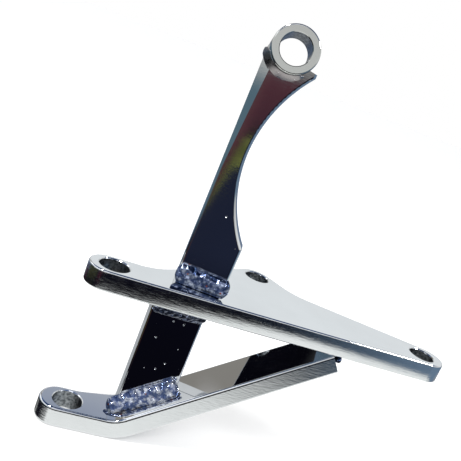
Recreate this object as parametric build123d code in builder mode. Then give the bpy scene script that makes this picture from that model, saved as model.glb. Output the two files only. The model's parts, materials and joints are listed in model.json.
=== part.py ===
from build123d import *
import os
from math import acos, atan2, cos, degrees, radians, sin, tan

# Welded accessory bracket. Millimetres, +Z up, the pivot axis is the Z axis and z = 0 is the top
# of the upper plate. The long straight edges face -Y.

# Stock and holes
stock_t = 7.94  # 5/16 in plate and flat bar
stock_w = 19.05  # 3/4 in flat bar
bolt_hole_d = 10.3  # clears a 3/8 in bolt
pivot_hole_d = 11.5  # clears a 7/16 in bolt

# Upper plate
ear_r = 7.7  # half width of every rounded ear
ear_past = 1.8  # how far the end ears run past their holes
right_hole_x = 131.0
back_hole_x = 63.0
back_hole_y = 33.0
lobe_right_angle = 54.0
lobe_right_side = 15.95  # from the lobe's rounding to the corner with the long back side
lobe_left_angle = 36.3
plate_hollow_r = 20.0  # hollow blends either side of the back lobe

# Lower bar
foot_width = 50.8  # accessory foot that fits between the two pivot ears
foot_clearance = 0.3
lower_ear_past = 3.2
flare_start_x = 4.0
flare_end_x = 20.0
bend_start_x = 16.0
bend_inside_r = 12.0
bend_angle = 35.6

# Post
post_x = 18.6
post_w = 21.0
bar_back_margin = 1.1  # back of the post to the back edge of the bar

# Arm and its bush
arm_left_x = 23.1
arm_face_y = 5.6
arm_w = 19.7
arm_turn = 14.0  # turned about Z away from the front edge
arm_lean = 1.0  # leans to the right
eye_height = 92.4
right_horn_height = 88.2  # top of the arm on either side of the bush
left_horn_height = 91.4
left_horn_w = 0.4
ground_start = 30.0  # bevel ground on the arm's left edge, widening to the top
ground_face_w = 3.8
ground_side_w = 3.0
scallop_r = 53.6
scallop_height = 53.2
waist_w = 7.9
eye_hole_d = 11.5  # clears a 7/16 in bolt
bush_d = 17.46
bush_proud = 0.8
eye_turn = 9.0  # the bush faces its own way: turned about Z and tipped up
eye_tip = 14.0

# Rounded and broken edges
plate_round = 0.7
bar_round = 1.0
arm_round = 1.2
post_round = 0.8
hole_break = 0.4
eye_break = 0.3
bush_round = 0.6
kink_round = 1.5

# Weld legs: first on the plate or bar the piece stands on, then on the piece
arm_weld = (5.0, 7.0)
post_head_weld = (5.0, 7.0)
post_foot_weld = (6.0, 6.0)
back_weld = (4.0, 4.0)
end_weld = (3.5, 3.5)
eye_weld_leg = 2.6
eye_weld_low = 0.5  # how far the front eye weld stays below the bush's rim
eye_weld_right = 40.0  # the front eye weld reaches this far either side of straight down
eye_weld_left = 85.0
eye_fill_leg = 1.2
eye_fill_arc = 70.0
bead_bulge = 0.6
bead_past = 1.5  # how far the front beads run past their piece

# Sizes that follow from the ones above
ear_gap = foot_width + foot_clearance
bar_top = -stock_t - ear_gap
bar_bottom = bar_top - stock_t
bar_front = -ear_r
bar_back = bar_front + stock_w
post_back = bar_back - bar_back_margin
post_front = post_back - stock_t
bend_end_x = bend_start_x + bend_inside_r * sin(radians(bend_angle))
bend_end_z = bar_top + bend_inside_r * (1 - cos(radians(bend_angle)))
climb_length = (-stock_t - bend_end_z) / sin(radians(bend_angle))
bar_end_x = bend_end_x + climb_length * cos(radians(bend_angle))
post_end_x = post_x + post_w
post_end_z = bend_end_z + (post_end_x - bend_end_x) * tan(radians(bend_angle))
across = Vector(cos(radians(arm_turn)), -sin(radians(arm_turn)), 0)
outward = Vector(-sin(radians(arm_turn)), -cos(radians(arm_turn)), 0)
lean_drop = Vector(0, 0, -sin(radians(arm_lean)))
arm_foot = Vector(arm_left_x, arm_face_y, 0)
arm_plane = Plane(arm_foot, across * cos(radians(arm_lean)) + lean_drop, outward)
arm_foot_w = arm_w / cos(radians(arm_lean))
bush_r = bush_d / 2
bush_x = bush_r + left_horn_w
bush_half = stock_t / 2 + bush_proud
eye_centre = arm_plane.from_local_coords((bush_x, eye_height, -stock_t / 2))
eye_across = Vector(cos(radians(eye_turn)), -sin(radians(eye_turn)), 0)
eye_out = Vector(0, -1, 0).rotate(Axis.X, -eye_tip).rotate(Axis.Z, -eye_turn)
eye_plane = Plane(eye_centre, eye_across, eye_out)
scallop_x = waist_w + scallop_r


def side_line(centre, facing):
    """Straight side that touches an ear's circle, as (a, b, c) in a*x + b*y = c."""
    a = cos(radians(facing))
    b = sin(radians(facing))
    return a, b, a * centre[0] + b * centre[1] + ear_r


def side_from(point, centre):
    """Straight side from a point to where it touches an ear's circle, in the same form."""
    away = Vector(*point) - Vector(*centre)
    facing = atan2(away.Y, away.X) - acos(ear_r / away.length)
    return side_line(centre, degrees(facing))


def meet(one, two):
    """Point where two side lines cross."""
    det = one[0] * two[1] - two[0] * one[1]
    x = (one[2] * two[1] - two[2] * one[1]) / det
    y = (one[0] * two[2] - two[0] * one[2]) / det
    return x, y


def bar_profile(depth):
    """Side view of the lower bar in X and Z, as a closed face of the given depth."""
    with BuildSketch(mode=Mode.PRIVATE) as profile:
        with BuildLine():
            start = (-ear_r - lower_ear_past - 1, bar_top)
            level = Line(start, (bend_start_x, bar_top))
            bend = JernArc(level @ 1, (1, 0), bend_inside_r, bend_angle)
            rise = PolarLine(bend @ 1, climb_length, bend_angle)
            end = PolarLine(rise @ 1, depth, bend_angle - 90)
            under = PolarLine(end @ 1, climb_length, bend_angle + 180)
            under_bend = JernArc(under @ 1, under % 1, bend_inside_r + depth, -bend_angle)
            under_level = Line(under_bend @ 1, (start[0], bar_top - depth))
            Line(under_level @ 1, start)
        make_face()
    return profile.sketch


def is_arm_side(face):
    """True on the arm's long left and right sides, not on its ends."""
    middle = face.normal_at()
    return abs(middle.dot(arm_plane.z_dir)) < 0.1 and abs(middle.Z) < 0.9


def runs_along_arm(edge):
    """True on edges that lie in the arm's front or back face."""
    return abs(edge.tangent_at(0.5).dot(arm_plane.z_dir)) < 0.1


def rims_of(piece):
    """Whole-circle edges of the drilled holes."""
    circles = piece.edges().filter_by(GeomType.CIRCLE)
    return circles.filter_by(lambda e: e.is_closed and e.radius <= pivot_hole_d / 2)


def bead(corner, out, along, legs, length, opening=90):
    """Fillet weld with a slightly full face, from corner along the seam.

    The first leg runs out from the corner and the second leg leaves it at the opening angle.
    """
    section = Plane(origin=corner, x_dir=out, z_dir=along)
    toe = Vector(legs[0], 0)
    top = Vector(legs[1], 0).rotate(Axis.Z, opening)
    middle = (toe + top) / 2 + (toe + top).normalized() * bead_bulge
    with BuildPart() as run:
        with BuildSketch(section):
            with BuildLine():
                Line((0, 0), toe)
                ThreePointArc(toe, middle, top)
                Line(top, (0, 0))
            make_face()
        extrude(amount=length)
    return run.part


def eye_bead(facing, corners, start, arc):
    """Ring weld on one face of the bush: corners are (radius, height along facing), swept by arc.

    The sweep starts at an angle from straight down, and turns from left to right seen from in front.
    """
    down = -eye_plane.y_dir
    begin = down.rotate(Axis((0, 0, 0), eye_out), -start)
    section = Plane(origin=eye_centre, x_dir=begin, z_dir=begin.cross(facing))
    with BuildPart() as run:
        with BuildSketch(section):
            with BuildLine():
                Polyline(*corners, close=True)
            make_face()
        revolve(axis=Axis(eye_centre, eye_out), revolution_arc=arc)
    return run.part


os.makedirs("parts", exist_ok=True)

# Upper plate
left_ear = (-ear_past, 0)
right_ear = (right_hole_x + ear_past, 0)
lobe = (back_hole_x, back_hole_y)
front = side_line(right_ear, -90)
lobe_right = side_line(lobe, 90 - lobe_right_angle)
shoulder_way = Vector(ear_r, -lobe_right_side).rotate(Axis.Z, 90 - lobe_right_angle)
shoulder = (lobe[0] + shoulder_way.X, lobe[1] + shoulder_way.Y)
long_back = side_from(shoulder, right_ear)
lobe_left = side_line(lobe, 90 + lobe_left_angle)
short_back = side_line(left_ear, 90)
with BuildPart() as upper_plate:
    with BuildSketch() as plate_outline:
        with BuildLine():
            FilletPolyline(
                (-ear_past, -ear_r),
                meet(front, long_back),
                shoulder,
                meet(lobe_right, lobe_left),
                meet(lobe_left, short_back),
                (-ear_past, ear_r),
                radius=(0, ear_r, plate_hollow_r, ear_r, plate_hollow_r, 0),
                close=True,
            )
        make_face()
        with Locations(left_ear):
            Circle(ear_r)
    extrude(amount=-stock_t)
    fillet(upper_plate.faces().filter_by(Axis.Z).edges(), plate_round)
    with Locations((0, 0)):
        Hole(pivot_hole_d / 2)
    with Locations(lobe, (right_hole_x, 0)):
        Hole(bolt_hole_d / 2)
    chamfer(rims_of(upper_plate), hole_break)
upper_plate.part.label = "upper_plate"
export_step(upper_plate.part, "parts/upper_plate.step")

# Lower bar
with BuildPart() as lower_bar:
    with BuildSketch(Plane.XZ.offset(-bar_back)):
        add(bar_profile(stock_t))
    extrude(amount=stock_w)
    with BuildSketch(Plane.XY.offset(bar_bottom)) as bar_plan:
        with BuildLine():
            FilletPolyline(
                (-lower_ear_past, bar_front),
                (right_hole_x, bar_front),
                (right_hole_x, bar_back),
                (flare_end_x, bar_back),
                (flare_start_x, ear_r),
                (-lower_ear_past, ear_r),
                radius=(0, 0, 0, plate_hollow_r, plate_hollow_r, 0),
                close=True,
            )
        make_face()
        with Locations((-lower_ear_past, 0)):
            Circle(ear_r)
    extrude(amount=-bar_bottom, mode=Mode.INTERSECT)
    sides = lower_bar.faces().filter_by(lambda f: abs(f.normal_at().Z) < 0.1)
    fillet(sides.edges().filter_by(lambda e: abs(e.tangent_at(0.5).Z) < 0.75), bar_round)
    with Locations((0, 0, bar_top)):
        Hole(pivot_hole_d / 2)
    chamfer(rims_of(lower_bar), hole_break)
lower_bar.part.label = "lower_bar"
export_step(lower_bar.part, "parts/lower_bar.step")

# Post, cut on the slope of the bar it stands on
with BuildPart() as post:
    with BuildSketch(Plane.XZ.offset(-post_back)):
        with Locations((post_x, -stock_t)):
            Rectangle(post_w, ear_gap, align=(Align.MIN, Align.MAX))
        add(bar_profile(2 * stock_t), mode=Mode.SUBTRACT)
    extrude(amount=stock_t)
    fillet(post.edges().filter_by(Axis.Z), post_round)
post.part.label = "post"
export_step(post.part, "parts/post.step")

# Arm, scalloped down one side, bevelled down the other and cupped at the top for the bush
ground_low = arm_plane.from_local_coords((0, ground_start, 0))
ground_on_face = arm_plane.from_local_coords((ground_face_w, right_horn_height, 0))
ground_on_side = arm_plane.from_local_coords((0, right_horn_height, -ground_side_w))
ground_up = ground_on_face - ground_low
ground_plane = Plane(ground_low, ground_up, ground_up.cross(ground_on_side - ground_low))
with BuildPart() as arm:
    with BuildSketch(arm_plane):
        with BuildLine():
            Polyline(
                (0, -stock_t),
                (arm_w, -stock_t),
                (arm_w, right_horn_height),
                (0, left_horn_height),
                close=True,
            )
        make_face()
        with Locations((scallop_x, scallop_height)):
            Circle(scallop_r, mode=Mode.SUBTRACT)
    extrude(amount=-stock_t)
    split(bisect_by=Plane.XY)
    corner = arm.edges().filter_by(Axis(arm_plane.origin, arm_plane.z_dir))
    fillet(corner.sort_by(Axis.Z)[2], kink_round)
    outside = arm.faces().filter_by(is_arm_side)
    fillet(outside.edges().filter_by(runs_along_arm), arm_round)
    split(bisect_by=ground_plane, keep=Keep.BOTTOM)
    with BuildSketch(eye_plane):
        Circle(bush_r)
    extrude(amount=2 * stock_t, both=True, mode=Mode.SUBTRACT)
arm.part.label = "arm"
export_step(arm.part, "parts/arm.step")

# Bush
with BuildPart() as eye_bush:
    with BuildSketch(eye_plane):
        Circle(bush_r)
        Circle(eye_hole_d / 2, mode=Mode.SUBTRACT)
    extrude(amount=bush_half, both=True)
    chamfer(rims_of(eye_bush), eye_break)
    rounds = eye_bush.edges().filter_by(GeomType.CIRCLE)
    fillet(rounds.filter_by(lambda e: abs(e.radius - bush_r) < 0.01), bush_round)
eye_bush.part.label = "eye_bush"
export_step(eye_bush.part, "parts/eye_bush.step")

# Weld beads: each runs from its corner along the seam
down_slope = Vector(-cos(radians(bend_angle)), 0, -sin(radians(bend_angle)))
arm_right = arm_foot + across * (arm_foot_w + bead_past)
arm_back = arm_foot - outward * stock_t
post_left = (post_x, post_front, -stock_t)
post_right = (post_end_x, post_back, -stock_t)
post_foot = Vector(post_end_x, post_front, post_end_z) - down_slope * bead_past
foot_length = (post_w + bead_past) / cos(radians(bend_angle)) + bead_past
bar_end = (bar_end_x, bar_front, -stock_t)
beads = {
    "weld_arm_front": bead(arm_right, outward, -across, arm_weld, arm_foot_w + bead_past),
    "weld_arm_back": bead(arm_back, -outward, across, back_weld, arm_foot_w),
    "weld_post_head_front": bead(post_left, (0, -1, 0), (1, 0, 0), post_head_weld, post_w),
    "weld_post_head_back": bead(post_right, (0, 1, 0), (-1, 0, 0), back_weld, post_w),
    "weld_post_foot": bead(post_foot, (0, -1, 0), down_slope, post_foot_weld, foot_length),
    "weld_bar_end": bead(bar_end, (1, 0, 0), (0, 1, 0), end_weld, stock_w, 90 - bend_angle),
}
front_corners = [(bush_r, bush_half - eye_weld_low), (bush_r + eye_weld_leg, 0), (bush_r, -stock_t / 4)]
fill_corners = [(bush_r, bush_half), (bush_r, bush_half + eye_fill_leg), (bush_r - eye_fill_leg, bush_half)]
front_arc = eye_weld_left + eye_weld_right
fill_start = (eye_weld_left - eye_weld_right + eye_fill_arc) / 2
beads["weld_eye_front"] = eye_bead(eye_out, front_corners, eye_weld_left, front_arc)
beads["weld_eye_back"] = eye_bead(-eye_out, fill_corners, fill_start, eye_fill_arc)
for name, weld in beads.items():
    with BuildPart() as bead_part:
        add(weld)
        add([upper_plate.part, lower_bar.part, post.part, arm.part], mode=Mode.SUBTRACT)
    bead_part.part.label = name
    export_step(bead_part.part, "parts/" + name + ".step")
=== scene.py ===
# %% [markdown]
# # A chrome-plated welded bracket
#
# The bracket is five pieces of flat steel bar, welded together and then chrome-plated. The cut
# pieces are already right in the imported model, so their shapes stay as they are. What is left to
# do here is the finish: mirror plating over polished faces, a coarser skin on the sawn edges, real
# weld ripples, and a surrounding that gives a mirror something to show.

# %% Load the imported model
import bmesh
import bpy
import json
from math import cos, pi, radians, sin, tan
from mathutils import Matrix, Vector


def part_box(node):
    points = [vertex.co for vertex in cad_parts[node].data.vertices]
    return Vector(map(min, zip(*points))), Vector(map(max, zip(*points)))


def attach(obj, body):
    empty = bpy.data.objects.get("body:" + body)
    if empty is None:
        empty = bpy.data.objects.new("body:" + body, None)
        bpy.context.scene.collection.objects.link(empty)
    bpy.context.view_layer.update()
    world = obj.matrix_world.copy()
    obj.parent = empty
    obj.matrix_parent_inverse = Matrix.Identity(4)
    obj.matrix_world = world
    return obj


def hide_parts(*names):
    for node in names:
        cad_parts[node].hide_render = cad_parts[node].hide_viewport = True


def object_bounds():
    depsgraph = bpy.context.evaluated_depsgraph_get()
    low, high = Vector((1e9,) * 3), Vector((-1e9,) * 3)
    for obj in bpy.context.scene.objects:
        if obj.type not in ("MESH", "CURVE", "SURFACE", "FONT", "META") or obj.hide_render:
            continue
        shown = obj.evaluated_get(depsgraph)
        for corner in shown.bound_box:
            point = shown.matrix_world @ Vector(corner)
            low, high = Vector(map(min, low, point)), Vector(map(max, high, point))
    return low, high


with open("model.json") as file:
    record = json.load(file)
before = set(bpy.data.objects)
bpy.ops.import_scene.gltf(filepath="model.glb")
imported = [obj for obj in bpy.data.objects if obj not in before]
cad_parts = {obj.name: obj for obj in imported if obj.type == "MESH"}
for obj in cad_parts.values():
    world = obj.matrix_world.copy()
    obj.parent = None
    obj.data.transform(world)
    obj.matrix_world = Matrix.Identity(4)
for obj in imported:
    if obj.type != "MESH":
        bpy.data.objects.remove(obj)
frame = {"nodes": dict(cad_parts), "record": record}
cad_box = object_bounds()
nodes = frame["nodes"]
print("nodes:", sorted(nodes))
print("box in mm:", [round(v * 1000, 1) for v in (*cad_box[0], *cad_box[1])])

# %% [markdown]
# ## Directions and places
#
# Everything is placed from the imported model. Each weld's own solid says where its corner runs, and
# the eye's mount says which way the bush faces, which is not quite the way the arm does. Measuring
# a solid along a direction of our own choosing works for turned and sloping pieces too, where an
# upright box would be too large.

# %% Measure along any direction
mounts = {m["name"]: m for m in frame["record"]["mounts"]}
ARM_TURN = radians(14.0)  # the arm's face is turned this far about Z from the front
arm_out = Vector((-sin(ARM_TURN), -cos(ARM_TURN), 0))
UP = Vector((0, 0, 1))
FRONT = Vector((0, -1, 0))
arm_across = UP.cross(arm_out)


def reach(node, direction):
    """Lowest and highest place of a node along a direction."""
    places = [v.co.dot(direction) for v in nodes[node].data.vertices]
    return min(places), max(places)


print("arm faces", [round(v, 3) for v in arm_out], "width", reach("arm", arm_across))

# %% [markdown]
# ## Building node trees
#
# Materials and Geometry Nodes are both trees of small steps. One short helper adds a node, fills
# in its sockets and links what it is given, so that each tree below reads like a recipe.


# %% A helper that adds one node
def add(tree, kind, values=None, **settings):
    """Adds a node, sets its options, and sets or links its inputs."""
    made = tree.nodes.new(kind)
    for key, value in settings.items():
        setattr(made, key, value)
    for key, value in (values or {}).items():
        if isinstance(value, bpy.types.NodeSocket):
            tree.links.new(value, made.inputs[key])
        else:
            made.inputs[key].default_value = value
    return made


def math(tree, operation, *terms, clamp=False):
    """One Math node; each term is a number or a socket."""
    values = dict(enumerate(terms))
    return add(tree, "ShaderNodeMath", values, operation=operation, use_clamp=clamp).outputs[0]


def vector_math(tree, operation, *terms):
    """One Vector Math node that gives a vector."""
    values = dict(enumerate(terms))
    return add(tree, "ShaderNodeVectorMath", values, operation=operation).outputs[0]


def ramp(tree, factor, stops):
    """A Color Ramp through (place, colour) stops."""
    made = add(tree, "ShaderNodeValToRGB", {"Fac": factor})
    points = made.color_ramp.elements
    while len(points) < len(stops):
        points.new(1.0)
    for point, (place, colour) in zip(points, stops):
        point.position = place
        point.color = (*colour, 1.0)
    return made.outputs["Color"]


def blend(tree, factor, one, two):
    """Mixes two colours."""
    made = add(tree, "ShaderNodeMix", {0: factor, 6: one, 7: two}, data_type="RGBA")
    return made.outputs[2]


def map_range(tree, value, low, high, to_low, to_high, smooth=False):
    """Maps a value from one range to another, held at the ends."""
    kind = "SMOOTHSTEP" if smooth else "LINEAR"
    values = {0: value, 1: low, 2: high, 3: to_low, 4: to_high}
    return add(tree, "ShaderNodeMapRange", values, interpolation_type=kind).outputs[0]


# %% [markdown]
# ## Chrome plating
#
# Chrome is a mirror with almost no colour of its own, a little blue. What makes it look real is
# how it fails to be a perfect mirror: a slow waviness left by the polishing wheel, fine scratches,
# small pits, and a coarser skin on sawn edges, which are ground less than the broad faces. All of
# it is bump and roughness read from Object coordinates, in metres, so it sits still on each piece.


# %% Chrome material
PLATING = (0.87, 0.88, 0.89)
PLATE_BOTTOM, PLATE_TOP = -0.0079, 0.0  # heights of the upper plate's two faces
CROWN_GROWS = (0.012, 0.075)  # from this X to this X the edges' crown grows to its full lean
DULLED = 0.94  # how much darker the hazy patches of plating are
BORE_MARGIN = 0.0001  # past the hole's radius, so that its broken edge stays bright
BORE_ROUGHNESS = 0.3


def inside_bores(tree, place, bores):
    """One on the walls of the named mounts' holes, zero elsewhere."""
    inside = 0.0
    for bore in bores:
        axis = Vector(mounts[bore]["axis"])
        from_axis = vector_math(tree, "SUBTRACT", place, tuple(mounts[bore]["pos_m"]))
        crossed = vector_math(tree, "CROSS_PRODUCT", from_axis, tuple(axis))
        away = add(tree, "ShaderNodeVectorMath", {0: crossed}, operation="LENGTH").outputs["Value"]
        radius = mounts[bore]["dims"]["r_mm"] / 1000 + BORE_MARGIN
        inside = math(tree, "ADD", inside, math(tree, "LESS_THAN", away, radius), clamp=True)
    return inside


def chrome(name, body=PLATING, face_roughness=0.035, edge_roughness=0.16, lean_top=0.0,
           lean_bottom=0.0, pits=0.0, wave=0.00001, grain=0.00003, warp=(0.0, 0.0, 0.0),
           crown_start=1.0, bores=()):
    """Polished plating on broad faces, with coarser edges that may be crowned.

    lean_top and lean_bottom say how far an upright edge face leans, in degrees, at the top and at
    the bottom of the upper plate's thickness; negative leans downwards. crown_start is the share of
    that lean where CROWN_GROWS begins. warp turns every face's normal a little, as welding heat
    does. bores are mounts whose hole walls are rough and get painted shade, a dark mottled tint.
    """
    material = bpy.data.materials.new(name)
    material.use_nodes = True
    tree = material.node_tree
    tree.nodes.clear()
    place = add(tree, "ShaderNodeTexCoord").outputs["Object"]
    normal = add(tree, "ShaderNodeNewGeometry").outputs["Normal"]
    axes = add(tree, "ShaderNodeSeparateXYZ", {0: normal})
    flatness = math(tree, "ABSOLUTE", axes.outputs["Z"])
    edge = map_range(tree, flatness, 0.35, 0.75, 1.0, 0.0, smooth=True)

    # Upright edges of bar and plate are crowned a little
    height = add(tree, "ShaderNodeSeparateXYZ", {0: place}).outputs["Z"]
    lean_low, lean_high = tan(radians(lean_bottom)), tan(radians(lean_top))
    lean = map_range(tree, height, PLATE_BOTTOM, PLATE_TOP, lean_low, lean_high)
    along = add(tree, "ShaderNodeSeparateXYZ", {0: place}).outputs["X"]
    lean = math(tree, "MULTIPLY", lean, map_range(tree, along, *CROWN_GROWS, crown_start, 1.0))
    lift = add(tree, "ShaderNodeCombineXYZ", {"Z": math(tree, "MULTIPLY", lean, edge)}).outputs[0]
    leant = vector_math(tree, "ADD", vector_math(tree, "ADD", normal, lift), warp)
    crowned = vector_math(tree, "NORMALIZE", leant)

    # Slow waviness, then grain along the edges, then pits
    waves = add(tree, "ShaderNodeTexNoise", {"Vector": place, "Scale": 90.0, "Detail": 1.5})
    bump = add(tree, "ShaderNodeBump", {"Height": waves.outputs["Fac"], "Distance": wave,
                                        "Normal": crowned, "Strength": 1.0})
    stretched = add(tree, "ShaderNodeMapping", {"Vector": place, "Scale": (220.0, 900.0, 1500.0)})
    grains = add(tree, "ShaderNodeTexNoise", {"Vector": stretched.outputs[0], "Scale": 1.0,
                                              "Detail": 4.0, "Roughness": 0.65})
    grain_height = math(tree, "MULTIPLY", grains.outputs["Fac"], edge)
    bump = add(tree, "ShaderNodeBump", {"Height": grain_height, "Distance": grain, "Strength": 1.0,
                                        "Normal": bump.outputs[0]})
    if pits:
        cells = add(tree, "ShaderNodeTexVoronoi", {"Vector": place, "Scale": 700.0})
        pick = add(tree, "ShaderNodeSeparateXYZ", {0: cells.outputs["Color"]}).outputs["X"]
        picked = math(tree, "GREATER_THAN", pick, 1.0 - pits)
        pit = map_range(tree, cells.outputs["Distance"], 0.10, 0.3, -1.0, 0.0, smooth=True)
        depth = math(tree, "MULTIPLY", pit, picked)
        bump = add(tree, "ShaderNodeBump", {"Height": depth, "Distance": 0.00025, "Strength": 1.0,
                                            "Normal": bump.outputs[0]})

    haze = add(tree, "ShaderNodeTexNoise", {"Vector": place, "Scale": 45.0, "Detail": 3.0})
    polish = map_range(tree, haze.outputs["Fac"], 0.35, 0.7,
                       face_roughness * 0.5, face_roughness * 1.6)
    coarse = map_range(tree, grains.outputs["Fac"], 0.3, 0.7,
                       edge_roughness * 0.6, edge_roughness * 1.4)
    roughness = add(tree, "ShaderNodeMix", {0: edge, 2: polish, 3: coarse},
                    data_type="FLOAT").outputs[0]
    dulled = tuple(DULLED * part for part in body)
    tint = ramp(tree, haze.outputs["Fac"], [(0.35, dulled), (0.7, body)])
    if bores:
        # Painted shade: the hole walls get a dark mottled tint in place of the plating's colour, and more
        # roughness.
        in_bore = inside_bores(tree, place, bores)
        bore_shade_noise = add(tree, "ShaderNodeTexNoise", {"Vector": place, "Scale": 900.0, "Detail": 3.0})
        mottled = ramp(tree, bore_shade_noise.outputs["Fac"],
                       [(0.35, (0.10, 0.11, 0.12)), (0.65, (0.42, 0.44, 0.46))])
        tint = blend(tree, in_bore, tint, mottled)
        roughness = add(tree, "ShaderNodeMix", {0: in_bore, 2: roughness, 3: BORE_ROUGHNESS},
                        data_type="FLOAT").outputs[0]
    shader = add(tree, "ShaderNodeBsdfPrincipled", {"Base Color": tint, "Metallic": 1.0,
                                                    "Roughness": roughness, "Normal": bump.outputs[0]})
    add(tree, "ShaderNodeOutputMaterial", {"Surface": shader.outputs[0]})
    print("material", name, "with", len(tree.nodes), "nodes")
    return material


PLATE_BORES = ("pivot_ears", "back_hole", "end_hole")
finishes = {
    "upper_plate": chrome("plate chrome", lean_top=2.0, lean_bottom=-24.0, grain=0.00005,
                          crown_start=0.3, bores=PLATE_BORES),
    "lower_bar": chrome("bar chrome", lean_top=-9.0, lean_bottom=-9.0, edge_roughness=0.12,
                        warp=(0.0, -0.08, 0.0), bores=PLATE_BORES),
    "post": chrome("post chrome", face_roughness=0.03, edge_roughness=0.04, grain=0.000004, pits=0.06),
    "arm": chrome("arm chrome", face_roughness=0.03, edge_roughness=0.045, grain=0.000004, pits=0.01),
    "eye_bush": chrome("bush chrome", body=(0.64, 0.64, 0.61), face_roughness=0.08,
                       edge_roughness=0.09, grain=0.00001, bores=("arm_eye",)),
}
for node, material in finishes.items():
    nodes[node].data.materials.clear()
    nodes[node].data.materials.append(material)

# %% [markdown]
# ## Chrome over weld
#
# Plating follows a weld's ripples but can't hide them. The surface there is rougher, with a few
# rust-brown specks where it didn't take. Its colour is mottled at random between a pale tone and a
# dark navy one; the dark navy is painted reflection of the dark ground in front. One recipe makes
# three copies: a plain one, a darker one with painted shade for the bead under the plate, and one
# with a painted highlight for the bead at the post's foot.

# %% Weld material
RUST = (0.22, 0.06, 0.03, 1.0)


def rough_chrome(name, dark, light, sparkle=0.0001, specks=0.07):
    """Weld plating: two random tones, the dark one painted reflection, fine sparkle, rust-brown specks.
    """
    material = bpy.data.materials.new(name)
    material.use_nodes = True
    tree = material.node_tree
    tree.nodes.clear()
    place = add(tree, "ShaderNodeTexCoord").outputs["Object"]
    mottle = add(tree, "ShaderNodeTexNoise", {"Vector": place, "Scale": 420.0, "Detail": 5.0,
                                              "Roughness": 0.7})
    # Painted reflection: the dark tone stands for the dark ground in front that the welds reflect.
    tint = ramp(tree, mottle.outputs["Fac"], [(0.46, dark), (0.74, light)])
    cells = add(tree, "ShaderNodeTexVoronoi", {"Vector": place, "Scale": 900.0})
    pick = add(tree, "ShaderNodeSeparateXYZ", {0: cells.outputs["Color"]}).outputs["X"]
    chosen = math(tree, "GREATER_THAN", pick, 1.0 - specks)
    speck = math(tree, "MULTIPLY", chosen, math(tree, "LESS_THAN", cells.outputs["Distance"], 0.35))
    colour = blend(tree, speck, tint, RUST)
    roughness = map_range(tree, mottle.outputs["Fac"], 0.3, 0.7, 0.16, 0.05)
    bump = add(tree, "ShaderNodeBump", {"Height": mottle.outputs["Fac"], "Distance": sparkle,
                                        "Strength": 1.0})
    shader = add(tree, "ShaderNodeBsdfPrincipled", {"Base Color": colour, "Metallic": 1.0,
                                                    "Roughness": roughness, "Normal": bump.outputs[0]})
    add(tree, "ShaderNodeOutputMaterial", {"Surface": shader.outputs[0]})
    print("material", name)
    return material


# The plain copy: a pale tone, and a dark navy tone that is painted reflection.
weld_chrome = rough_chrome("weld chrome", (0.035, 0.055, 0.12), (0.66, 0.72, 0.84),
                           sparkle=0.00012)
shaded_weld = rough_chrome("shaded weld chrome", (0.02, 0.03, 0.06), (0.16, 0.19, 0.26),
                           sparkle=0.00005, specks=0.0)
# Painted highlight: a lighter copy of the weld plating for the bead at the post's foot.
painted_highlight_weld = rough_chrome("painted highlight weld chrome", (0.07, 0.10, 0.20), (0.95, 0.96, 0.98),
                           sparkle=0.00014, specks=0.03)

# %% [markdown]
# ## Weld beads
#
# A hand-laid bead is a row of small puddles, each frozen over the edge of the last, so it shows
# curved ripples and its edges wander. The ripples repeat along a line, which is what Geometry Nodes
# are good at: a round section is swept along the corner, squeezed to the bead's lying-oval shape,
# and pushed in and out by a ripple wave and by noise. Every bead uses the same tree with its own
# sizes. It is made lying along X with one leg along Y and the other along Z, and then put in place.
# The oval only spans the corner from toe to toe. The wedge behind it stays open, which shows from
# the ends of a bead; a section with a third point in the corner would close it.

# %% The bead tree
tree = bpy.data.node_groups.new("weld bead", "GeometryNodeTree")
tree.is_modifier = True
bead_inputs = {
    "Length": 0.02, "Foot leg": 0.005, "Wall leg": 0.005, "Crown": 0.0012, "Pitch": 0.0018,
    "Ripple": 0.0003, "Lumps": 0.0006, "Stretch": 1.0, "Seed": 0.0,
}
for name, value in bead_inputs.items():
    socket = tree.interface.new_socket(name, in_out="INPUT", socket_type="NodeSocketFloat")
    socket.default_value = value
tree.interface.new_socket("Material", in_out="INPUT", socket_type="NodeSocketMaterial")
tree.interface.new_socket("Geometry", in_out="OUTPUT", socket_type="NodeSocketGeometry")
asked = add(tree, "NodeGroupInput").outputs

STEP = 0.00014  # spacing of the rings
END_ROUND = 0.0016  # length of each rounded end
end_point = add(tree, "ShaderNodeCombineXYZ", {"X": asked["Length"]}).outputs[0]
line = add(tree, "GeometryNodeCurvePrimitiveLine", {"End": end_point}).outputs[0]
line = add(tree, "GeometryNodeResampleCurve", {"Curve": line, "Length": STEP}, mode="LENGTH").outputs[0]
travel = add(tree, "GeometryNodeSplineParameter").outputs["Length"]
line_kept = add(tree, "GeometryNodeCaptureAttribute", {0: line}, domain="POINT")
line_kept.capture_items.new("FLOAT", "travel")
tree.links.new(travel, line_kept.inputs[1])
circle = add(tree, "GeometryNodeCurvePrimitiveCircle", {"Resolution": 40, "Radius": 1.0}).outputs[0]
circle_kept = add(tree, "GeometryNodeCaptureAttribute", {0: circle}, domain="POINT")
circle_kept.capture_items.new("VECTOR", "round")
tree.links.new(add(tree, "GeometryNodeInputPosition").outputs[0], circle_kept.inputs[1])
tube = add(tree, "GeometryNodeCurveToMesh", {"Curve": line_kept.outputs[0],
                                             "Profile Curve": circle_kept.outputs[0],
                                             "Fill Caps": True}).outputs[0]
travel = line_kept.outputs[1]
around = add(tree, "ShaderNodeSeparateXYZ", {0: circle_kept.outputs[1]}).outputs
across, outwards = around["X"], around["Y"]

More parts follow.
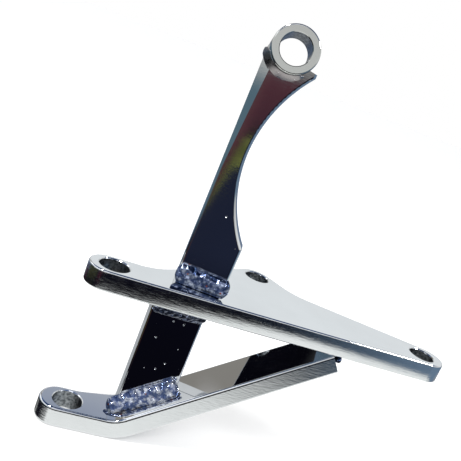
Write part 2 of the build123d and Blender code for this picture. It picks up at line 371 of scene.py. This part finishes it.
# The edges wander, and both ends round off
seeded = add(tree, "ShaderNodeCombineXYZ", {"X": math(tree, "MULTIPLY", travel, asked["Stretch"]),
                                            "Y": math(tree, "MULTIPLY", across, 0.003),
                                            "Z": math(tree, "MULTIPLY", outwards, 0.001)}).outputs[0]
wander = add(tree, "ShaderNodeTexNoise", {"Vector": seeded, "W": asked["Seed"], "Scale": 260.0,
                                          "Detail": 1.0}, noise_dimensions="4D").outputs["Fac"]
lumps = add(tree, "ShaderNodeTexNoise", {"Vector": seeded, "W": asked["Seed"], "Scale": 650.0,
                                         "Detail": 3.0, "Roughness": 0.6},
            noise_dimensions="4D").outputs["Fac"]
to_end = math(tree, "MINIMUM", travel, math(tree, "SUBTRACT", asked["Length"], travel))
rounding = math(tree, "POWER", map_range(tree, to_end, 0.0, END_ROUND, 0.12, 1.0), 0.5)
spread = math(tree, "MULTIPLY", rounding, map_range(tree, wander, 0.3, 0.7, 0.86, 1.04))
bend = math(tree, "MULTIPLY", math(tree, "MULTIPLY", across, across), 0.5)
phase = math(tree, "ADD", math(tree, "DIVIDE", travel, asked["Pitch"]), bend)
phase = math(tree, "ADD", phase, math(tree, "MULTIPLY", wander, 1.5))
wave = math(tree, "ABSOLUTE", math(tree, "SINE", math(tree, "MULTIPLY", phase, pi)))
relief = math(tree, "MULTIPLY", wave, asked["Ripple"])
lumpy = math(tree, "MULTIPLY", math(tree, "SUBTRACT", lumps, 0.5), asked["Lumps"])
relief = math(tree, "ADD", relief, lumpy)
shown = map_range(tree, outwards, -0.2, 0.5, 0.0, 1.0, smooth=True)
relief = math(tree, "MULTIPLY", relief, shown)

# The section is an oval from the toe on the foot to the top on the wall
half_foot = math(tree, "MULTIPLY", asked["Foot leg"], 0.5)
half_wall = math(tree, "MULTIPLY", asked["Wall leg"], 0.5)
chord = math(tree, "SQRT", math(tree, "ADD", math(tree, "MULTIPLY", half_foot, half_foot),
                                math(tree, "MULTIPLY", half_wall, half_wall)))
out_y = math(tree, "DIVIDE", half_wall, chord)
out_z = math(tree, "DIVIDE", half_foot, chord)
crown = math(tree, "MULTIPLY", math(tree, "MULTIPLY", outwards, asked["Crown"]), rounding)
push = math(tree, "ADD", crown, relief)
side = math(tree, "MULTIPLY", across, spread)
new_y = math(tree, "ADD", math(tree, "MULTIPLY", half_foot, math(tree, "ADD", side, 1.0)),
             math(tree, "MULTIPLY", push, out_y))
new_z = math(tree, "ADD", math(tree, "MULTIPLY", half_wall, math(tree, "SUBTRACT", 1.0, side)),
             math(tree, "MULTIPLY", push, out_z))
placed = add(tree, "ShaderNodeCombineXYZ", {"X": travel, "Y": new_y, "Z": new_z}).outputs[0]
shaped = add(tree, "GeometryNodeSetPosition", {"Geometry": tube, "Position": placed}).outputs[0]
smooth = add(tree, "GeometryNodeSetShadeSmooth", {0: shaped}).outputs[0]
real = add(tree, "GeometryNodeRealizeInstances", {0: smooth}).outputs[0]
dressed = add(tree, "GeometryNodeSetMaterial", {"Geometry": real,
                                                "Material": asked["Material"]}).outputs[0]
add(tree, "NodeGroupOutput", {0: dressed})
bead_tree = tree
print("bead tree with", len(tree.nodes), "nodes")


# %% Run a tree with its sizes and keep the mesh
def grown(name, tree, sizes, material):
    """Plain mesh object from a Geometry Nodes tree."""
    base = bpy.data.objects.new(name + " base", bpy.data.meshes.new(name + " base"))
    bpy.context.scene.collection.objects.link(base)
    modifier = base.modifiers.new("grow", "NODES")
    modifier.node_group = tree
    for item in tree.interface.items_tree:
        if item.in_out == "INPUT" and item.name in sizes:
            modifier[item.identifier] = sizes[item.name]
        elif item.in_out == "INPUT" and item.name == "Material":
            modifier[item.identifier] = material
    bpy.context.view_layer.update()
    made = base.evaluated_get(bpy.context.evaluated_depsgraph_get())
    mesh = bpy.data.meshes.new_from_object(made)
    bpy.data.objects.remove(base)
    mesh.name = name
    piece = bpy.data.objects.new(name, mesh)
    bpy.context.scene.collection.objects.link(piece)
    return piece


def turn_outwards(piece):
    """Merges doubles and makes every face point out."""
    work = bmesh.new()
    work.from_mesh(piece.data)
    bmesh.ops.remove_doubles(work, verts=work.verts, dist=1e-7)
    bmesh.ops.recalc_face_normals(work, faces=work.faces)
    work.to_mesh(piece.data)
    work.free()


# %% [markdown]
# ## Straight beads
#
# Each bead's corner is found from its own solid: where it starts along the seam, and where its two
# legs begin. The two legs can meet at any angle, so the bead is put in place by a matrix whose
# columns are the seam and the two legs.

# %% Lay the straight beads
bend_angle = radians(35.6)
uphill = Vector((cos(bend_angle), 0, sin(bend_angle)))
off_slope = Vector((-sin(bend_angle), 0, cos(bend_angle)))
seams = {
    "weld_arm_front": (arm_across, arm_out, UP),
    "weld_arm_back": (-arm_across, -arm_out, UP),
    "weld_post_head_front": (Vector((1, 0, 0)), FRONT, -UP),
    "weld_post_head_back": (Vector((-1, 0, 0)), -FRONT, -UP),
    "weld_post_foot": (uphill, FRONT, off_slope),
}
looks = {
    "weld_arm_front": dict(Crown=0.0009, Pitch=0.0030, Ripple=0.0001,
                           Lumps=0.0015, Stretch=0.18, Seed=3.0),
    "weld_arm_back": dict(Crown=0.0006, Pitch=0.0020, Ripple=0.00025,
                          Lumps=0.0010, Stretch=0.6, Seed=5.0),
    "weld_post_head_front": dict(Crown=0.0003, Pitch=0.0026, Ripple=0.0002,
                                 Lumps=0.0014, Stretch=0.5, Seed=8.0),
    "weld_post_head_back": dict(Crown=0.0006, Pitch=0.0020, Ripple=0.00025,
                                Lumps=0.0010, Stretch=0.6, Seed=11.0),
    "weld_post_foot": dict(Crown=0.0010, Pitch=0.0026, Ripple=0.0001,
                           Lumps=0.0011, Stretch=0.2, Seed=13.0),
}


# The bead under the plate gets the copy with painted shade, the foot bead the copy with painted
# highlight.
shaded_and_highlit_welds = {"weld_post_head_front": shaded_weld, "weld_post_foot": painted_highlight_weld}


def hand_over(bead, node):
    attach(bead, "root")
    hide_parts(node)


def lay(piece, corner, along, foot, wall):
    """Puts a bead that lies along X into its corner."""
    matrix = Matrix((along, foot, wall)).transposed().to_4x4()
    matrix.translation = corner
    piece.data.transform(matrix)
    turn_outwards(piece)


for name, (along, foot, wall) in seams.items():
    start, stop = reach(name, along)
    foot_low, foot_high = reach(name, foot)
    wall_low, wall_high = reach(name, wall)
    corner = along * start + foot * foot_low + wall * wall_low
    # The three directions are square to each other, so the corner is their sum
    sizes = {"Length": stop - start, "Foot leg": foot_high - foot_low,
             "Wall leg": wall_high - wall_low, **looks[name]}
    bead = grown(name + "_ripples", bead_tree, sizes, shaded_and_highlit_welds.get(name, weld_chrome))
    lay(bead, corner, along, foot, wall)
    hand_over(bead, name)
    print(name, "length %.1f mm" % ((stop - start) * 1000), len(bead.data.polygons), "faces")

# %% [markdown]
# ## The bead under the plate
#
# The lower bar meets the plate at a sharp angle, and its bead fills the open side of that wedge.
# One leg lies on the plate's underside and the other on the bar's square-cut end.

# %% Lay the bead at the bar's end
end_low, end_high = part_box("weld_bar_end")
end_leg = end_high[0] - end_low[0]
start, stop = reach("weld_bar_end", -FRONT)
corner = Vector((end_low[0], start, end_high[2]))
end_face = Vector((sin(bend_angle), 0, -cos(bend_angle)))
sizes = {"Length": stop - start, "Foot leg": end_leg, "Wall leg": end_leg, "Crown": 0.0008,
         "Pitch": 0.0016, "Ripple": 0.0003, "Lumps": 0.0007, "Seed": 17.0}
bead = grown("weld_bar_end_ripples", bead_tree, sizes, weld_chrome)
lay(bead, corner, -FRONT, Vector((1, 0, 0)), end_face)
hand_over(bead, "weld_bar_end")
print("bar end leg %.1f mm" % (end_leg * 1000))

# %% [markdown]
# ## Beads round the bush
#
# The bush is welded into the arm's cup from both faces. These beads are thin and ground smooth, and
# they get a duller, satin plating of their own, whose dark grey body is painted shade below the ring.
# The same tree makes them straight, and then they are bent round the bush. The front one is a little
# shorter than its solid at the left, where a bead of the full length stuck out past the arm.

# %% Bend two thin beads round the bush
# Satin plating for the eye beads; its dark grey body is painted shade below the ring.
shaded_satin_weld = chrome("shaded satin weld chrome", body=(0.42, 0.39, 0.39), face_roughness=0.25,
                     edge_roughness=0.32, grain=0.00001, wave=0.00003)
eye = Vector(mounts["arm_eye"]["pos_m"])
eye_out = Vector(mounts["arm_eye"]["axis"]).normalized()
eye_right = UP.cross(eye_out).normalized()
eye_down = eye_right.cross(eye_out)
from_eye = [v.co - eye for v in nodes["eye_bush"].data.vertices]
bush_r = max((way - eye_out * way.dot(eye_out)).length for way in from_eye)
bush_low, bush_high = reach("eye_bush", eye_out)
bush_half = (bush_high - bush_low) / 2
# name: facing, where the bead's corner is along facing, legs (outwards, along facing), from and to angle
rings = {
    "weld_eye_front": (1, 0.0006, 0.0024, 0.0034, -76.0, 40.0, 19.0),
    "weld_eye_back": (-1, bush_half, -0.0012, 0.0012, -70.0, 0.0, 23.0),
}
for name, (side, base, outward_leg, wall_leg, begin, end, seed) in rings.items():
    arc = radians(end - begin)
    sizes = {"Length": bush_r * arc, "Foot leg": abs(outward_leg), "Wall leg": wall_leg, "Crown": -0.0002,
             "Pitch": 0.0030, "Ripple": 0.00002, "Lumps": 0.0005, "Stretch": 0.4, "Seed": seed}
    bead = grown(name + "_ripples", bead_tree, sizes, shaded_satin_weld)
    for vertex in bead.data.vertices:
        angle = vertex.co.x / bush_r + radians(begin)
        away = eye_down * cos(angle) + eye_right * sin(angle)
        spread = vertex.co.y * (1 if outward_leg > 0 else -1)
        vertex.co = eye + away * (bush_r + spread) + eye_out * side * (base + vertex.co.z)
    turn_outwards(bead)
    hand_over(bead, name)
    print(name, len(bead.data.polygons), "faces")

# %% [markdown]
# ## Surroundings
#
# A mirror looks like what is round it. A bright band above the horizon makes the plate's top pale, a
# dark band below the horizon in front makes the upright faces nearly black, and a light ground right
# below lights the lower half of every crowned edge. Straight overhead it is dark blue again. The
# world gives these by direction. The camera itself sees a plain pale background, and so the dark
# parts show only in the chrome. They are placed for the front view; other views are plainer.

# %% World
world = bpy.data.worlds.new("studio")
bpy.context.scene.world = world
world.use_nodes = True
tree = world.node_tree
tree.nodes.clear()
direction = add(tree, "ShaderNodeTexCoord").outputs["Generated"]
axes = add(tree, "ShaderNodeSeparateXYZ", {0: direction}).outputs
height = axes["Z"]


def at(elevation):
    """Place on a ramp for an elevation in degrees."""
    return (sin(radians(elevation)) + 1) / 2


along_ramp = map_range(tree, height, -1.0, 1.0, 0.0, 1.0)
NAVY = (0.013, 0.017, 0.036)
front_colours = ramp(tree, along_ramp, [
    (at(-65), (0.95, 0.97, 0.96)),
    (at(-46), (0.84, 0.87, 0.86)),
    (at(-38), (0.002, 0.002, 0.004)),
    (at(-22), (0.003, 0.003, 0.007)),
    (at(-14), NAVY),
    (at(-2), (0.020, 0.020, 0.034)),
    (at(2), (0.42, 0.42, 0.40)),
    (at(10), (0.66, 0.67, 0.68)),
    (at(20), (0.80, 0.84, 0.86)),
    (at(36), (0.66, 0.67, 0.68)),
    (at(48), (0.12, 0.18, 0.32)),
    (at(60), (0.03, 0.06, 0.14)),
    (at(80), (0.02, 0.04, 0.10)),
])
# A maroon wall with an olive strip across its foot stands behind the viewer
STRIP_LEFT = 0.272  # the strip climbs from this far left of straight behind
STRIP_RUN = 0.017  # and climbs over this width
STRIP_CLIMB, STRIP_DROP = 5.4, 0.262  # how steeply, and how far below the horizon it starts
STRIP_WIDENS, STRIP_WIDTH, STRIP_THINNEST = 1.5, 0.020, 0.012
from_side = math(tree, "MINIMUM", math(tree, "ADD", axes["X"], STRIP_LEFT), STRIP_RUN)
strip_low = math(tree, "SUBTRACT", math(tree, "MULTIPLY", from_side, STRIP_CLIMB), STRIP_DROP)
strip_w = math(tree, "ADD", math(tree, "MULTIPLY", from_side, STRIP_WIDENS), STRIP_WIDTH)
strip_w = math(tree, "MAXIMUM", strip_w, STRIP_THINNEST)
up_strip = math(tree, "DIVIDE", math(tree, "SUBTRACT", height, strip_low), strip_w)
maroon = ramp(tree, map_range(tree, up_strip, -1.0, 9.0, 0.0, 1.0), [
    (0.095, NAVY),
    (0.105, (0.17, 0.19, 0.05)),
    (0.150, (0.05, 0.06, 0.02)),
    (0.190, (0.15, 0.17, 0.05)),
    (0.205, (0.018, 0.018, 0.018)),
    (0.260, (0.055, 0.022, 0.032)),
    (0.500, (0.095, 0.035, 0.045)),
    (1.000, (0.080, 0.052, 0.054)),
])


def band(value, *edges):
    """Rises from the first edge to the second and falls from the third to the fourth."""
    rise = map_range(tree, value, edges[0], edges[1], 0.0, 1.0, smooth=True)
    fall = map_range(tree, value, edges[2], edges[3], 1.0, 0.0, smooth=True)
    return math(tree, "MULTIPLY", rise, fall)


def patch(colours, across, upwards, colour):
    """Lays a soft-edged patch over the colours so far."""
    return blend(tree, math(tree, "MULTIPLY", across, upwards), colours, colour)


x, y = axes["X"], axes["Y"]
behind_viewer = math(tree, "MULTIPLY", map_range(tree, y, -0.80, -0.90, 0.0, 1.0, smooth=True),
                     map_range(tree, x, -0.12, -0.17, 0.0, 1.0, smooth=True))
colours = patch(front_colours, behind_viewer, band(height, -0.38, -0.30, -0.03, -0.01), maroon)
# Left of the bracket: steel blue above, olive and maroon lower down
to_left = map_range(tree, x, -0.35, -0.55, 0.0, 1.0, smooth=True)
colours = patch(colours, to_left, band(height, -0.30, -0.22, 0.02, 0.08), (0.09, 0.15, 0.19, 1.0))
colours = patch(colours, band(x, -0.72, -0.66, -0.5, -0.42), band(height, -0.62, -0.55, -0.33, -0.28),
                (0.045, 0.012, 0.02, 1.0))
colours = patch(colours, band(x, -1.1, -1.05, -0.80, -0.70), band(height, -0.62, -0.55, -0.33, -0.28),
                (0.040, 0.042, 0.02, 1.0))
colours = patch(colours, band(x, -1.1, -1.05, -0.55, -0.40), band(height, -0.82, -0.75, -0.5, -0.45),
                (0.006, 0.006, 0.010, 1.0))
# Right of the bracket: steel blue
to_right = map_range(tree, x, 0.35, 0.6, 0.0, 1.0, smooth=True)
colours = patch(colours, to_right, band(height, -0.75, -0.60, 0.02, 0.08), (0.14, 0.21, 0.30, 1.0))
# Behind the bracket the ground is a mid steel blue, and pale further to the right
behind = map_range(tree, y, 0.2, 0.6, 0.0, 1.0, smooth=True)
colours = patch(colours, behind, band(height, -0.42, -0.36, -0.05, 0.05), (0.16, 0.21, 0.30, 1.0))
far_right = math(tree, "MULTIPLY", behind, map_range(tree, x, -0.28, -0.22, 0.0, 1.0, smooth=True))
colours = patch(colours, far_right, band(height, -0.60, -0.55, -0.42, -0.38), (0.40, 0.42, 0.44, 1.0))
# A dull wall behind to the left shows in the lower bar's climbing face
dull_wall = math(tree, "MULTIPLY", behind, band(x, -0.60, -0.52, -0.22, -0.12))
colours = patch(colours, dull_wall, band(height, 0.34, 0.40, 0.68, 0.74), (0.25, 0.24, 0.22, 1.0))
# Two bright windows high in front glint along the tops of the foot beads
colours = patch(colours, band(x, -0.85, -0.75, -0.52, -0.42), band(height, 0.50, 0.55, 0.64, 0.70),
                (1.60, 1.65, 1.75, 1.0))
overhead = math(tree, "MULTIPLY", band(x, -0.32, -0.26, 0.05, 0.12), band(y, -0.70, -0.64, -0.46, -0.38))
colours = patch(colours, overhead, band(height, 0.55, 0.62, 1.1, 1.2), (1.10, 1.15, 1.30, 1.0))
rays = add(tree, "ShaderNodeLightPath").outputs
plain = math(tree, "ADD", rays["Is Camera Ray"], rays["Is Diffuse Ray"], clamp=True)
colours = blend(tree, plain, colours, (1.0, 1.0, 1.0, 1.0))
background = add(tree, "ShaderNodeBackground", {"Color": colours, "Strength": 1.0})
add(tree, "ShaderNodeOutputWorld", {"Surface": background.outputs[0]})
print("world with", len(tree.nodes), "nodes")

# %% [markdown]
# ## Floor and lights
#
# The floor is a plain pale sheet that catches a soft shadow. It is kept out of the chrome's
# reflections, where the world's own light ground does its job. Two small soft lamps hang above, one
# on each side, and sparkle on the weld ripples.

# %% Floor
lowest = cad_box[0][2]
middle = (cad_box[0] + cad_box[1]) / 2
FLOOR_HALF = 6.0
floor_mesh = bpy.data.meshes.new("floor")
corners = [(x * FLOOR_HALF, y * FLOOR_HALF, lowest) for x, y in ((-1, -1), (1, -1), (1, 1), (-1, 1))]
floor_mesh.from_pydata(corners, [], [(0, 1, 2, 3)])
floor = bpy.data.objects.new("floor", floor_mesh)
bpy.context.scene.collection.objects.link(floor)
floor.visible_glossy = False
paper = bpy.data.materials.new("pale floor")
paper.use_nodes = True
sheet = paper.node_tree.nodes["Principled BSDF"]
sheet.inputs["Base Color"].default_value = (0.80, 0.80, 0.80, 1.0)
sheet.inputs["Roughness"].default_value = 0.9
sheet.inputs["Emission Color"].default_value = (1.0, 1.0, 1.0, 1.0)
sheet.inputs["Emission Strength"].default_value = 0.25
floor_mesh.materials.append(paper)


# %% Lamps
def soft_lamp(name, place, size, watts, colour=(1.0, 1.0, 1.0)):
    """Square area lamp that points at the middle of the bracket."""
    lamp = bpy.data.lights.new(name, "AREA")
    lamp.size = size
    lamp.energy = watts
    lamp.color = colour
    holder = bpy.data.objects.new(name, lamp)
    bpy.context.scene.collection.objects.link(holder)
    holder.location = Vector(place)
    holder.rotation_euler = (middle - Vector(place)).to_track_quat("-Z", "Y").to_euler()
    return holder


soft_lamp("sun", (-0.35, -0.25, 0.95), 0.10, 6.0)
soft_lamp("window", (0.6, -0.3, 0.7), 0.16, 3.0)

# %% [markdown]
# ## Camera
#
# The camera stands close in front, a little to the left, looks slightly down, and is rolled, so
# the bracket's upright arm leans to the right in the picture.

# %% Camera
CAMERA_PLACE = Vector((-0.0227, -0.2187, 0.0882))
LENS = 50.14
AZIMUTH, DOWN, ROLL = radians(14.88), radians(15.44), radians(21.85)
camera_data = bpy.data.cameras.new("camera")
camera_data.lens = LENS
camera_data.sensor_width = 36.0
camera_data.clip_start = 0.005
camera = bpy.data.objects.new("camera", camera_data)
bpy.context.scene.collection.objects.link(camera)
turn = Matrix.Rotation(-AZIMUTH, 4, "Z") @ Matrix.Rotation(pi / 2 - DOWN, 4, "X")
camera.matrix_world = Matrix.Translation(CAMERA_PLACE) @ turn @ Matrix.Rotation(ROLL, 4, "Z")
bpy.context.scene.camera = camera
bpy.context.scene.view_settings.view_transform = "Standard"
print("camera looks along", [round(v, 3) for v in -camera.matrix_world.col[2].xyz])
print("camera right", [round(v, 3) for v in camera.matrix_world.col[0].xyz])
